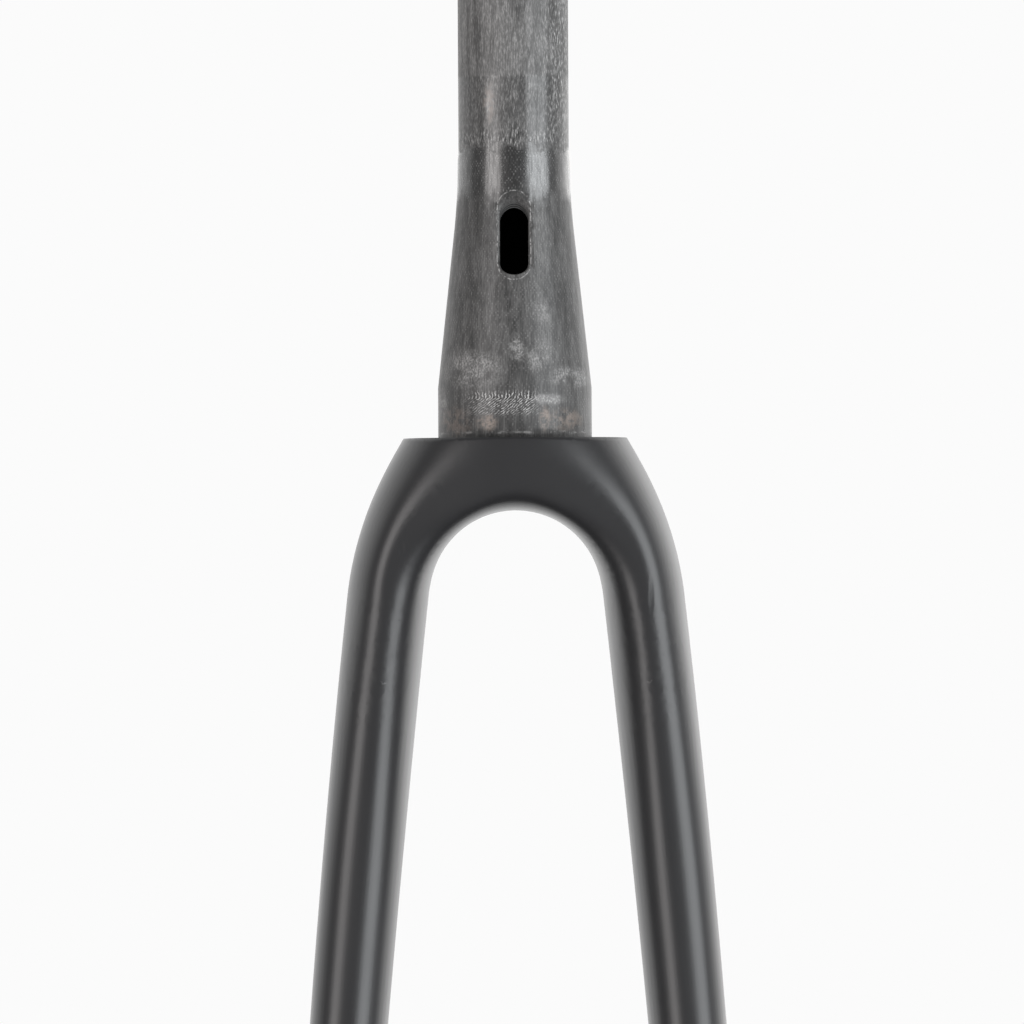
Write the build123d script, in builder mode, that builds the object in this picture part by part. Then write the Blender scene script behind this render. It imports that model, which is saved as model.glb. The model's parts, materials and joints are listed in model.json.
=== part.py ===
from build123d import *

import os
from math import atan2, cos, radians, sin, sqrt, tan

# Rigid carbon disc fork: steerer, crown and both legs are one hollow moulding, and the metal pieces that
# carry the wheel axle and the brake bolts are bonded into it.
# Millimetres and degrees. Z runs up the steerer axis and z = 0 is the flat top of the crown, where the
# crown race sits. -Y is the front of the bicycle and +X is the rider's left, the brake side.

# Steerer, outside
STEERER_LENGTH = 300.0
STEERER_DIAMETER = 28.6
NECK_DIAMETER = 29.1
NECK_TOP = 73.0
NECK_BLEND = 8.1
CONE_TOP = 62.5
SEAT_DIAMETER = 39.8
SEAT_HEIGHT = 13.0

# Steerer, inside
STEERER_WALL = 2.6
SEAT_WALL = 3.9

# Hose slot in the front of the steerer, cut on a downward slant
SLOT_WIDTH = 7.3
SLOT_HEIGHT = 21.6
SLOT_CENTRE = 52.1
SLOT_SLANT = 45.0
SLOT_RIM = 0.6

# Crown
CROWN_DIAMETER = 57.0
CROWN_HEIGHT = 18.7
CROWN_TOP_WALL = 4.0
CROWN_WALL = 3.2
CROWN_SQUARENESS = 6.0
CROWN_SPREAD = 8
FRONT_ANGLE = 65.0
LEG_ANGLE = 20.0
DEPTH_RUN = 130.0
ARCH_RADIUS = 22.3
SHOULDER_RADIUS = 90.0
SHOULDER_DROP = 40.0

# Legs
AXLE_DROP = 385.0
RAKE = 47.0
RAKE_START = 20.0
RAKE_CURVE = 1.3
LEG_TOP_DROP = 60.0
LEG_TOP_CENTRE = 35.15
LEG_TOP_WIDTH = 21.05
LEG_TOP_DEPTH = 32.5
LEG_FOOT_WIDTH = 15.0
LEG_FOOT_DEPTH = 21.5
LEG_FOOT_RISE = 26.0
LEG_WIDTH_CURVE = 1.6
LEG_BOW = 3.1
LEG_WALL = 2.6
HOLLOW_FOOT_RISE = 115.0
LEG_SQUARENESS = 2.1

# Dropouts and the axle pieces in them
HUB_WIDTH = 100.0
DROPOUT_THICKNESS = 12.6
DROPOUT_RADIUS = 13.8
DROPOUT_SQUARENESS = 3.0
DROPOUT_CHAMFER = 1.2
DROPOUT_LAP = 0.3
AXLE_BORE = 12.2
AXLE_THREAD_BORE = 10.5
AXLE_SLEEVE_DIAMETER = 16.0
AXLE_FLANGE_DIAMETER = 20.0
AXLE_FLANGE_THICKNESS = 2.0
AXLE_FACING_DEPTH = 5.0
BOND_GAP = 0.05

# Brake mount on the rear of the left leg
BRAKE_MOUNT_RISE = 65.0
BRAKE_HOLE_SPACING = 70.0
BRAKE_PAD_WIDTH = 14.0
BRAKE_PAD_MARGIN = 9.0
BRAKE_PAD_PROUD = 2.5
BRAKE_PAD_CHAMFER = 0.8
BRAKE_INSERT_FLATS = 8.0
BRAKE_INSERT_LENGTH = 11.0
BRAKE_THREAD_BORE = 4.2

# Hose exit in the rear of the left leg, above the brake mount
HOSE_EXIT_RISE = 26.0
HOSE_EXIT_WIDTH = 7.0
HOSE_EXIT_HEIGHT = 13.0
HOSE_EXIT_SLANT = 35.0
HOSE_EXIT_BAND = 24.0

# How closely the sections of the skin follow each other
FOOT_SECTIONS = 3
BRAKE_SECTIONS = 2
LEG_SECTIONS = 6
CROWN_SECTIONS = 16
SECTION_POINTS = 24

# Places that follow from the sizes above
FRONT = -1
LEFT = 1
RIGHT = -1
AXLE_HEIGHT = -AXLE_DROP
ARCH_CENTRE = -(CROWN_HEIGHT + ARCH_RADIUS)
ARCH_BEND = ARCH_RADIUS + LEG_TOP_WIDTH / 2
LEG_TOP = -LEG_TOP_DROP
LEG_FOOT = AXLE_HEIGHT + LEG_FOOT_RISE
HOLLOW_FOOT = AXLE_HEIGHT + HOLLOW_FOOT_RISE
DROPOUT_CENTRE = HUB_WIDTH / 2 + DROPOUT_THICKNESS / 2
STEERER_BORE = STEERER_DIAMETER - 2 * STEERER_WALL
SEAT_BORE = SEAT_DIAMETER - 2 * SEAT_WALL


def blend(start, end, share):
    """The value a share of the way from start to end."""
    return start + (end - start) * share


def rake_at(height):
    """How far the middle of a leg lies from the steerer axis at a height, forward being negative."""
    share = (-RAKE_START - height) / (AXLE_DROP - RAKE_START)
    return FRONT * RAKE * max(share, 0) ** RAKE_CURVE


def lean_at(height, step=1.0):
    """Unit vector down the leg at a height, seen from the side."""
    return Vector(0, rake_at(height - step) - rake_at(height + step), -2 * step).normalized()


def leg_centre_at(height):
    """Half the distance between the middles of the two legs, on a shallow outward bow."""
    share = (LEG_TOP - height) / (LEG_TOP - AXLE_HEIGHT)
    return blend(LEG_TOP_CENTRE, DROPOUT_CENTRE, share) + 4 * LEG_BOW * share * (1 - share)


def leg_size_at(height):
    """Width across the bicycle and depth along it of a leg at a height."""
    share = (LEG_TOP - height) / (LEG_TOP - LEG_FOOT)
    width = blend(LEG_TOP_WIDTH, LEG_FOOT_WIDTH, max(share, 0) ** LEG_WIDTH_CURVE)
    return width, blend(LEG_TOP_DEPTH, LEG_FOOT_DEPTH, share)


def shoulder_reach(angle):
    """Distance from the arch centre to the outer shoulder arc, along a ray at an angle above horizontal.

    The arc runs from the crown's rim down to the outer edge of the leg."""
    rim = Vector(CROWN_DIAMETER / 2, 0)
    leg = Vector(leg_centre_at(-SHOULDER_DROP) + LEG_TOP_WIDTH / 2, -SHOULDER_DROP)
    chord = leg - rim
    inward = Vector(chord.Y, -chord.X).normalized()
    middle = (rim + leg) * 0.5
    centre = middle + inward * sqrt(SHOULDER_RADIUS**2 - (chord.length / 2) ** 2)
    ray = Vector(cos(radians(angle)), sin(radians(angle)))
    start = Vector(0, ARCH_CENTRE) - centre
    along = start.dot(ray)
    return -along + sqrt(along**2 - start.dot(start) + SHOULDER_RADIUS**2)


def eased_depth(run, leg_depth):
    """Depth of a section at a run from the middle of the crown, measured round the arch and down the leg.

    It eases from the crown's depth into the leg's own."""
    turn = min(run / DEPTH_RUN, 1)
    return blend(CROWN_DIAMETER, leg_depth, turn**2 * (3 - 2 * turn))


def leg_station(height):
    """Middle, outward direction, half width, half depth, two squarenesses and wall of the left leg at a height.

    The squarenesses are those of the outer and the inner side. Below the foot of the leg the section turns
    into the flatter one of the dropout, and ends inside it."""
    share = max(LEG_FOOT - height, 0) / LEG_FOOT_RISE
    width, depth = leg_size_at(max(height, LEG_FOOT))
    middle = Vector(leg_centre_at(height), rake_at(height), height)
    half_width = blend(width / 2, DROPOUT_THICKNESS / 2 - DROPOUT_LAP, share)
    depth = eased_depth(radians(90) * ARCH_BEND + ARCH_CENTRE - height, depth)
    half_depth = blend(depth / 2, DROPOUT_RADIUS - DROPOUT_LAP, share)
    squareness = blend(LEG_SQUARENESS, DROPOUT_SQUARENESS, share)
    return middle, Vector(1, 0, 0), half_width, half_depth, squareness, squareness, LEG_WALL


def crown_station(angle):
    """The same for a section that fans round the arch centre, 90 being the middle of the crown.

    From the leg's angle to the front's angle its front turns flat, down to the edge of the arch."""
    share = sin(radians(angle)) ** CROWN_SPREAD
    outer = blend(shoulder_reach(angle), ARCH_RADIUS + 2 * CROWN_HEIGHT, share**2)
    turn = min(max((angle - LEG_ANGLE) / (FRONT_ANGLE - LEG_ANGLE), 0), 1)
    front = turn**2 * (3 - 2 * turn)
    ray = Vector(cos(radians(angle)), 0, sin(radians(angle)))
    middle = Vector(0, 0, ARCH_CENTRE) + ray * ((ARCH_RADIUS + outer) / 2)
    middle = Vector(middle.X, rake_at(middle.Z), middle.Z)
    half_depth = eased_depth(radians(90 - angle) * ARCH_BEND, leg_size_at(ARCH_CENTRE)[1]) / 2
    arch_squareness = blend(LEG_SQUARENESS, CROWN_SQUARENESS, front)
    wall = blend(LEG_WALL, CROWN_WALL, front)
    return middle, ray, (outer - ARCH_RADIUS) / 2, half_depth, LEG_SQUARENESS, arch_squareness, wall


def leg_stations(lowest, highest, sections):
    """Evenly spaced stations up the left leg, without the one at the highest point."""
    return [leg_station(blend(lowest, highest, step / sections)) for step in range(sections)]


def section_plane(station):
    """Plane of a station, with X across the leg and Y along the bicycle."""
    middle, outward = station[:2]
    return Plane(middle, x_dir=outward, z_dir=outward.cross(Vector(0, 1, 0)))


def section_points(station, walls):
    """Points round a station in its plane, set in by a number of walls.

    A squareness of 2 is an ellipse, and more is nearer to a rounded rectangle."""
    half_width, half_depth, outer_squareness, inner_squareness, wall = station[2:]
    points = []
    for step in range(SECTION_POINTS):
        angle = radians(360 * step / SECTION_POINTS)
        across, along = cos(angle), sin(angle)
        squareness = outer_squareness if across > 0 else inner_squareness
        reach = (abs(across) ** squareness + abs(along) ** squareness) ** (-1 / squareness)
        x = (half_width - walls * wall) * across * reach
        y = (half_depth - walls * wall) * along * reach
        points.append((x, y))
    return points


def steerer_radius_at(height):
    """Outside radius of the steerer's cone at a height."""
    share = (height - SEAT_HEIGHT) / (CONE_TOP - SEAT_HEIGHT)
    return blend(SEAT_DIAMETER, NECK_DIAMETER, share) / 2


def on_steerer_skin(point):
    """Whether a point lies on the outside of the steerer rather than in its bore."""
    return Vector(point.X, point.Y).length > steerer_radius_at(point.Z) - STEERER_WALL / 2


# Round end of the left dropout
with BuildPart() as dropout_end:
    with BuildSketch(Plane.YZ.offset(HUB_WIDTH / 2)):
        with Locations((FRONT * RAKE, AXLE_HEIGHT)):
            Circle(DROPOUT_RADIUS)
    extrude(amount=DROPOUT_THICKNESS)
    chamfer(dropout_end.edges().filter_by(GeomType.CIRCLE), DROPOUT_CHAMFER)

# Sections from the left leg up to the middle of the crown, where the hollow needs only every second one
foot_stations = leg_stations(AXLE_HEIGHT, LEG_FOOT, FOOT_SECTIONS)
brake_stations = leg_stations(LEG_FOOT, HOLLOW_FOOT, BRAKE_SECTIONS)
upper_stations = leg_stations(HOLLOW_FOOT + HOSE_EXIT_BAND, ARCH_CENTRE, LEG_SECTIONS)
crown_stations = [crown_station(90 * step / CROWN_SECTIONS) for step in range(CROWN_SECTIONS + 1)]
hollow_stations = [leg_station(HOLLOW_FOOT)] + upper_stations + crown_stations[::2]
skin_stations = foot_stations + brake_stations + [leg_station(HOLLOW_FOOT)] + upper_stations + crown_stations

# Skin of the crown, the legs and the dropouts, cut flat at the top of the crown
with BuildPart() as skin:
    for station in skin_stations:
        with BuildSketch(section_plane(station)):
            with BuildLine():
                Spline(*section_points(station, 0), periodic=True)
            make_face()
    loft(ruled=True)
    split(bisect_by=Plane.XY, keep=Keep.BOTTOM)
    add(dropout_end.part)
    mirror(about=Plane.YZ)

# Hollow inside the crown and the legs, down to the solid part that carries the brake and the axle
with BuildPart() as cavity:
    for station in hollow_stations:
        with BuildSketch(section_plane(station)):
            with BuildLine():
                Spline(*section_points(station, 1), periodic=True)
            make_face()
    loft(ruled=True)
    split(bisect_by=Plane.XY.offset(-CROWN_TOP_WALL), keep=Keep.BOTTOM)
    mirror(about=Plane.YZ)

# Bore of the steerer, straight at the top and widening into the hollow of the crown
with BuildPart() as steerer_bore:
    with BuildSketch(Plane.XZ):
        with BuildLine():
            Polyline(
                (0, -CROWN_TOP_WALL - CROWN_WALL),
                (SEAT_BORE / 2, -CROWN_TOP_WALL - CROWN_WALL),
                (SEAT_BORE / 2, SEAT_HEIGHT),
                (STEERER_BORE / 2, CONE_TOP),
                (STEERER_BORE / 2, STEERER_LENGTH),
                (0, STEERER_LENGTH),
                close=True,
            )
        make_face()
    revolve(axis=Axis.Z)

# Places of the brake mount and the hose exit on the left leg
pad_height = AXLE_HEIGHT + BRAKE_MOUNT_RISE
pad_down = lean_at(pad_height)
pad_normal = Vector(0, -pad_down.Z, pad_down.Y)
pad_stand = leg_size_at(pad_height)[1] / 2 + BRAKE_PAD_PROUD
pad_centre = Vector(leg_centre_at(pad_height), rake_at(pad_height), pad_height) + pad_normal * pad_stand
pad_plane = Plane(pad_centre, x_dir=pad_down, z_dir=pad_normal)
pad_length = BRAKE_HOLE_SPACING + 2 * BRAKE_PAD_MARGIN
insert_places = GridLocations(BRAKE_HOLE_SPACING, 1, 2, 1)
insert_radius = BRAKE_INSERT_FLATS / 2 / cos(radians(30))
exit_height = pad_height + pad_length / 2 + HOSE_EXIT_RISE
exit_outward = Vector(0, cos(radians(HOSE_EXIT_SLANT)), -sin(radians(HOSE_EXIT_SLANT)))
exit_plane = Plane.XZ.offset(-rake_at(exit_height))

# Outer faces of the two dropouts
outer_faces = {}
for side in (LEFT, RIGHT):
    outer_middle = (side * (HUB_WIDTH / 2 + DROPOUT_THICKNESS), FRONT * RAKE, AXLE_HEIGHT)
    outer_faces[side] = Plane(outer_middle, z_dir=(side, 0, 0))

# Flat pad that the brake sits on
with BuildPart() as brake_pad:
    with BuildSketch(pad_plane):
        SlotOverall(pad_length, BRAKE_PAD_WIDTH)
    extrude(amount=-pad_stand)
    chamfer(brake_pad.faces().sort_by(Axis(pad_centre, pad_normal))[-1].edges(), BRAKE_PAD_CHAMFER)

# The moulding: skin with the pad and the steerer on it, hollowed, then cut for what fits into it
with BuildPart() as fork_body:
    add(skin.part)
    add(brake_pad.part)
    add(cavity.part, mode=Mode.SUBTRACT)

    # Steerer with the crown race seat at its foot
    seat_radius = SEAT_DIAMETER / 2
    neck_corner = (NECK_DIAMETER / 2, CONE_TOP)
    cone_angle = atan2(SEAT_DIAMETER / 2 - NECK_DIAMETER / 2, CONE_TOP - SEAT_HEIGHT)
    neck_round = NECK_BLEND / tan(cone_angle / 2)
    with BuildSketch(Plane.XZ) as steerer_profile:
        with BuildLine():
            Polyline(
                (0, -CROWN_TOP_WALL),
                (seat_radius, -CROWN_TOP_WALL),
                (seat_radius, SEAT_HEIGHT),
                neck_corner,
                (NECK_DIAMETER / 2, NECK_TOP),
                (STEERER_DIAMETER / 2, NECK_TOP),
                (STEERER_DIAMETER / 2, STEERER_LENGTH),
                (0, STEERER_LENGTH),
                close=True,
            )
        make_face()
        fillet(steerer_profile.vertices().sort_by_distance(neck_corner)[0], neck_round)
    revolve(axis=Axis.Z)
    add(steerer_bore.part, mode=Mode.SUBTRACT)

    # Hose slot, cut from the bore outwards through the front of the steerer
    slot_depth = steerer_radius_at(SLOT_CENTRE)
    slot_outward = Vector(0, FRONT * cos(radians(SLOT_SLANT)), sin(radians(SLOT_SLANT)))
    with BuildSketch(Plane.XZ):
        with Locations((0, SLOT_CENTRE - slot_depth * tan(radians(SLOT_SLANT)))):
            SlotOverall(SLOT_HEIGHT, SLOT_WIDTH, rotation=90)
    extrude(amount=2 * slot_depth, dir=slot_outward, mode=Mode.SUBTRACT)
    slot_rim = [edge for edge in fork_body.edges(Select.LAST) if on_steerer_skin(edge.center())]
    chamfer(slot_rim, SLOT_RIM)

    # Hose exit, cut from the hollow outwards through the rear of the left leg
    with BuildSketch(exit_plane):
        with Locations((leg_centre_at(exit_height), exit_height)):
            SlotOverall(HOSE_EXIT_HEIGHT, HOSE_EXIT_WIDTH, rotation=90)
    extrude(amount=2 * pad_stand, dir=exit_outward, mode=Mode.SUBTRACT)

    # Pockets for the brake inserts
    with BuildSketch(pad_plane):
        with insert_places:
            RegularPolygon(insert_radius + BOND_GAP, 6)
    extrude(amount=-BRAKE_INSERT_LENGTH, mode=Mode.SUBTRACT)

    # Flat faces inside and outside each dropout, then seats for the axle sleeve and the axle nut
    for outer_face in outer_faces.values():
        with BuildSketch(outer_face, outer_face.offset(-DROPOUT_THICKNESS - AXLE_FACING_DEPTH)):
            Circle(DROPOUT_RADIUS)
        extrude(amount=AXLE_FACING_DEPTH, mode=Mode.SUBTRACT)
        with BuildSketch(outer_face):
            Circle(AXLE_SLEEVE_DIAMETER / 2 + BOND_GAP)
        extrude(amount=-DROPOUT_THICKNESS, mode=Mode.SUBTRACT)
        with BuildSketch(outer_face):
            Circle(AXLE_FLANGE_DIAMETER / 2 + BOND_GAP)
        extrude(amount=-AXLE_FLANGE_THICKNESS, mode=Mode.SUBTRACT)

# Flanged blank for the axle pieces, in the left dropout
with BuildPart() as axle_blank:
    with BuildSketch(outer_faces[LEFT]):
        Circle(AXLE_SLEEVE_DIAMETER / 2)
    extrude(amount=-DROPOUT_THICKNESS)
    with BuildSketch(outer_faces[LEFT]):
        Circle(AXLE_FLANGE_DIAMETER / 2)
    extrude(amount=-AXLE_FLANGE_THICKNESS)

# Sleeve in the left dropout that the axle slides through
with BuildPart() as axle_sleeve:
    add(axle_blank.part)
    with BuildSketch(outer_faces[LEFT]):
        Circle(AXLE_BORE / 2)
    extrude(amount=-DROPOUT_THICKNESS, mode=Mode.SUBTRACT)

# Nut in the right dropout that the axle screws into
with BuildPart() as axle_nut:
    mirror(axle_blank.part, about=Plane.YZ)
    with BuildSketch(outer_faces[RIGHT]):
        Circle(AXLE_THREAD_BORE / 2)
    extrude(amount=-DROPOUT_THICKNESS, mode=Mode.SUBTRACT)

# The two hexagonal brake inserts
with BuildPart() as brake_inserts:
    with BuildSketch(pad_plane):
        with insert_places:
            RegularPolygon(insert_radius, 6)
            Circle(BRAKE_THREAD_BORE / 2, mode=Mode.SUBTRACT)
    extrude(amount=-BRAKE_INSERT_LENGTH)

os.makedirs("parts", exist_ok=True)
fork_body.part.label = "fork_body"
export_step(fork_body.part, "parts/fork_body.step")
axle_sleeve.part.label = "axle_sleeve"
export_step(axle_sleeve.part, "parts/axle_sleeve.step")
axle_nut.part.label = "axle_nut"
export_step(axle_nut.part, "parts/axle_nut.step")
brake_inserts.part.label = "brake_inserts"
export_step(brake_inserts.part, "parts/brake_inserts.step")
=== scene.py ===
# %% [markdown]
# # A rigid carbon fork in a white studio
#
# A bicycle fork of this kind is one hollow carbon moulding. Its crown and legs are painted satin black, and
# its steerer is left bare, because the bearing ring and the stem have to grip it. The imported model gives
# every piece at its real size, in metres. This lesson gives the moulding its smooth skin, gives every piece
# its finish, and lights the fork as for a product picture.

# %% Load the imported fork
import json
from math import hypot, pi, radians, sqrt

import bmesh
import bpy
from mathutils import Matrix, Vector


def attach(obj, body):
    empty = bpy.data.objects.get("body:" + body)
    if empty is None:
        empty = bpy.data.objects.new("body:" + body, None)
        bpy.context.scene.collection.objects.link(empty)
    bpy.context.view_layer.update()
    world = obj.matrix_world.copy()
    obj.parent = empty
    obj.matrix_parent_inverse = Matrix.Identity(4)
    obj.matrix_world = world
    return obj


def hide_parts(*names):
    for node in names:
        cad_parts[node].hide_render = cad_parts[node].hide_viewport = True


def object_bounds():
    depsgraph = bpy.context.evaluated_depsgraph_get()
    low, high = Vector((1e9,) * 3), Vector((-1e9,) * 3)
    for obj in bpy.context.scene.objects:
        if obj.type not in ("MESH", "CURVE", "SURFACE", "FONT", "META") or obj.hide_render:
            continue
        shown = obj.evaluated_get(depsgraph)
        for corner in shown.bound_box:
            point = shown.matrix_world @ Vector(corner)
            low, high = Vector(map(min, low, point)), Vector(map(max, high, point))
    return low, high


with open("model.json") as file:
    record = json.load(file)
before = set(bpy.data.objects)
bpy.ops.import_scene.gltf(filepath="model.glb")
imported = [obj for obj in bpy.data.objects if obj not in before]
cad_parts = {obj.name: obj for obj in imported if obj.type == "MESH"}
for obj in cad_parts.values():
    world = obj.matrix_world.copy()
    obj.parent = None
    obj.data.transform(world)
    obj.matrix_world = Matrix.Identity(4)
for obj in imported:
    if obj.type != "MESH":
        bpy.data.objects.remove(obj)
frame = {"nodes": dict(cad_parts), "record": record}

MM = 0.001
CAD_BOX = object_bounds()
MOUNTS = {mount["name"]: Vector(mount["pos_m"]) for mount in frame["record"]["mounts"]}
print("pieces in the frame:", sorted(frame["nodes"]))

# %% [markdown]
# ## Arithmetic that writes nodes
#
# Shaders and Geometry Nodes are graphs, and drawing one in code takes a line for every link. The two small
# classes below make it read like ordinary arithmetic. A `Signal` is the output of a node, and adding or
# multiplying signals adds the Math nodes that do it. Every other node comes from the one method `node`.

# %% Signals and graphs


class Signal:
    """The output of a node, for use in plain arithmetic."""

    def __init__(self, graph, socket):
        self.graph = graph
        self.socket = socket

    def __getitem__(self, name):
        """Another output of the same node."""
        return Signal(self.graph, self.socket.node.outputs[name])

    def math(self, operation, *others):
        """A Math node with this signal in its first place."""
        values = dict(enumerate([self, *others]))
        return self.graph.node("ShaderNodeMath", {"operation": operation}, values)

    def flipped(self, operation, other):
        """A Math node with this signal in its second place."""
        return self.graph.node("ShaderNodeMath", {"operation": operation}, {0: other, 1: self})

    def __add__(self, other):
        return self.math("ADD", other)

    def __radd__(self, other):
        return self.flipped("ADD", other)

    def __sub__(self, other):
        return self.math("SUBTRACT", other)

    def __rsub__(self, other):
        return self.flipped("SUBTRACT", other)

    def __mul__(self, other):
        return self.math("MULTIPLY", other)

    def __rmul__(self, other):
        return self.flipped("MULTIPLY", other)

    def __truediv__(self, other):
        return self.math("DIVIDE", other)

    def __rtruediv__(self, other):
        return self.flipped("DIVIDE", other)

    def __pow__(self, other):
        return self.math("POWER", other)

    def __lt__(self, other):
        return self.math("LESS_THAN", other)

    def __gt__(self, other):
        return self.math("GREATER_THAN", other)

    def __abs__(self):
        return self.math("ABSOLUTE")

    def ramp(self, low, high):
        """A smooth step from 0 at low to 1 at high. A low above the high gives a step down."""
        limits = {0: self, 1: min(low, high), 2: max(low, high)}
        step = self.graph.node("ShaderNodeMapRange", {"interpolation_type": "SMOOTHSTEP"}, limits)
        return step if low < high else 1 - step

    def band(self, low, high, edge):
        """1 between low and high and 0 outside, with soft edges."""
        return self.ramp(low - edge, low + edge) * self.ramp(high + edge, high - edge)


class Graph:
    """A node tree that grows as its signals are used."""

    def __init__(self, tree):
        self.tree = tree

    def node(self, kind, settings=None, sockets=None):
        """Adds a node, links or sets its inputs, and gives its first output."""
        made = self.tree.nodes.new(kind)
        for name, value in (settings or {}).items():
            setattr(made, name, value)
        for name, value in (sockets or {}).items():
            if isinstance(value, Signal):
                self.tree.links.new(value.socket, made.inputs[name])
            else:
                made.inputs[name].default_value = value
        return Signal(self, made.outputs[0]) if made.outputs else made

    def split(self, vector):
        """The three parts of a vector."""
        parts = self.node("ShaderNodeSeparateXYZ", {}, {"Vector": vector})
        return parts["X"], parts["Y"], parts["Z"]

    def join(self, x, y, z):
        """A vector from its three parts."""
        return self.node("ShaderNodeCombineXYZ", {}, {"X": x, "Y": y, "Z": z})


def length_of(a, b):
    """The long side of a right triangle."""
    return (a * a + b * b) ** 0.5


def blend(start, end, share):
    """From start to end as share goes from 0 to 1."""
    return start + (end - start) * share


print("graph helpers ready")

# %% [markdown]
# ## Finishes
#
# A finish is one material with one surface shader. The class below starts it, hands out the piece's own
# coordinates in metres, and offers the two textures that all the finishes use: a noise that can be stretched
# along an axis, and a bump. Values that are the same all over a surface go straight into the shader.

# %% The start of every finish


class Finish(Graph):
    """A material with one surface shader, read in the piece's own coordinates."""

    def __init__(self, name, **constants):
        self.material = bpy.data.materials.new(name)
        self.material.use_nodes = True
        super().__init__(self.material.node_tree)
        self.shader = self.tree.nodes["Principled BSDF"]
        for socket, value in constants.items():
            self.shader.inputs[socket.replace("_", " ")].default_value = value
        self.point = self.node("ShaderNodeTexCoord")["Object"]
        self.x, self.y, self.z = self.split(self.point)

    def feed(self, socket, signal):
        """Links a signal to one of the shader's inputs."""
        self.tree.links.new(signal.socket, self.shader.inputs[socket])

    def noise(self, across, along, detail=2.0, roughness=0.5):
        """A noise with features of one size across the steerer's axis and another along it."""
        stretched = self.node(
            "ShaderNodeVectorMath",
            {"operation": "MULTIPLY"},
            {0: self.point, 1: (1 / across, 1 / across, 1 / along)},
        )
        sockets = {"Vector": stretched, "Scale": 1.0, "Detail": detail, "Roughness": roughness}
        return self.node("ShaderNodeTexNoise", {}, sockets)

    def oval(self, across, up, half_width, half_height):
        """How far out a point lies in an oval seen from the front: 0 in its middle, 1 on its outline."""
        return length_of((self.x - across) / half_width, (self.z - up) / half_height)

    def mix(self, share, low, high):
        """One colour turning into another as share goes from 0 to 1."""
        return self.node("ShaderNodeMix", {"data_type": "RGBA"}, {0: share, 6: low, 7: high})["Result"]

    def bump(self, height, distance):
        """A relief whose height signal is worth a distance in metres."""
        self.feed("Normal", self.node("ShaderNodeBump", {}, {"Height": height, "Distance": distance}))


def grey(level):
    """An even grey as a shader takes it."""
    return (level, level, level, 1.0)


print("finishes can be started")

# %% [markdown]
# ## Satin black paint
#
# The crown and legs are sprayed with a thin black coat and a satin lacquer. Such a coat is nearly black in
# itself, and what the eye sees is the studio in it: soft streaks down the legs, bright rims at the sides. So
# the colour stays very dark and the roughness does the work. A faint ripple from spraying, a cloudiness of
# handling and two small dents where it was knocked keep it from looking like plastic.

# %% Mix the paint
CLEAN_BLACK = (0.0122, 0.0121, 0.0132, 1)
HANDLED_BLACK = (0.0134, 0.0133, 0.0144, 1)
RIPPLE_HEIGHT = 0.004 * MM
DENT_IN_RIPPLES = 14
DENT_EDGE = (1.4, 0.2)

paint = Finish("satin_black_paint", Specular_IOR_Level=0.5)
handling = paint.noise(22 * MM, 40 * MM, detail=3)
ripple = paint.noise(2.6 * MM, 2.6 * MM, detail=1)
paint.feed("Base Color", paint.mix(handling, CLEAN_BLACK, HANDLED_BLACK))
paint.feed("Roughness", blend(0.33, 0.41, handling))
left_dent = paint.oval(-29.1 * MM, -28.6 * MM, 0.8 * MM, 2 * MM).ramp(*DENT_EDGE)
right_dent = paint.oval(34.6 * MM, -40.5 * MM, 0.7 * MM, 4.5 * MM).ramp(*DENT_EDGE)
dents = (left_dent + right_dent) * (paint.y < 0)
paint.bump(ripple - dents * DENT_IN_RIPPLES, RIPPLE_HEIGHT)
print("mixed", paint.material.name)

# %% [markdown]
# ## Bare carbon
#
# The steerer comes out of its mould with the weave of the peel cloth in its surface, and is then sanded where
# parts have to grip or be glued. That gives zones one above the other: coarse upright sanding marks at the
# top, a glossy ring under them, a dull stretch round the slot, rubbed whitish patches lower down, a belt of
# slanted file marks, and the brownish seat of the bearing ring. A dark line at its foot is painted shade, for
# a small groove that the mesh leaves out. Heights are read from the object's z, places round the steerer from
# the angle of x and y. The resin that still covers the fibres in the ring is a coat over the finish, thick in
# the ring and worn thin elsewhere.

# %% Bare carbon: where each zone lies
SANDED_FROM = 74.5 * MM
SANDED_EDGE = 0.9 * MM
WELL_SANDED_FROM = 93.3 * MM
WELL_SANDED_EDGE = 0.6 * MM
GLOSS_FROM = 62.5 * MM
EDGE_WANDER = 8 * MM

bare = Finish("bare_carbon", Specular_IOR_Level=0.24, Coat_Roughness=0.23, Coat_IOR=1.75)
turn = bare.x.math("ARCTAN2", 0 - bare.y)
in_front = bare.y < 0
wander = bare.noise(4 * MM, 3 * MM, detail=3) - 0.5
height = bare.z + wander * EDGE_WANDER
sanded = height.ramp(SANDED_FROM - SANDED_EDGE, SANDED_FROM + SANDED_EDGE)
well_sanded = bare.z.ramp(WELL_SANDED_FROM - WELL_SANDED_EDGE, WELL_SANDED_FROM + WELL_SANDED_EDGE)
glossy_ring = height.ramp(GLOSS_FROM - 4 * MM, GLOSS_FROM + 3 * MM) * (1 - sanded)
print("glossy ring from", GLOSS_FROM, "to", SANDED_FROM)

# %% Bare carbon: fibres, specks and peel cloth
COLUMNS = 104
ROW_PITCH = 1.3 * MM

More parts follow.
